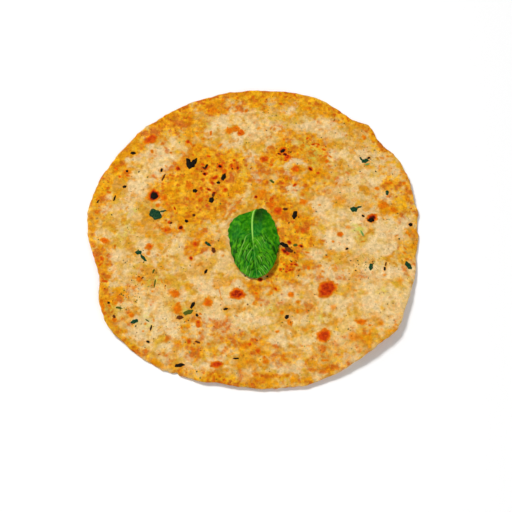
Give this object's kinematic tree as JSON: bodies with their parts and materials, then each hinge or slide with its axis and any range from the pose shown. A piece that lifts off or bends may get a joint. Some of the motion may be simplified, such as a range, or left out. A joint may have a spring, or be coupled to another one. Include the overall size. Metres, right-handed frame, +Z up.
{
  "type": "paratha flatbread",
  "caption": "Round thin pan-fried flatbread with browned blisters, a wavy rim, chopped herbs in its dough and a mint leaf lying on top.",
  "frame": {"origin": "middle of the bread's outline, on the surface that it lies on", "axes": "+Z up out of the browned top, -Y towards the leaf's tip, +X to the right as the leaf is seen with its tip down"},
  "size_m": [0.211, 0.2096, 0.0082],
  "materials": {
    "bread": "soft baked dough, matt with a thin film of oil, golden fried patches and dark scorched blisters",
    "leaf": "fresh green leaf, satin, with paler veins"
  },
  "bodies": {
    "root": {"bread": "bread", "mint_leaf": "leaf"}
  },
  "joints": []
}
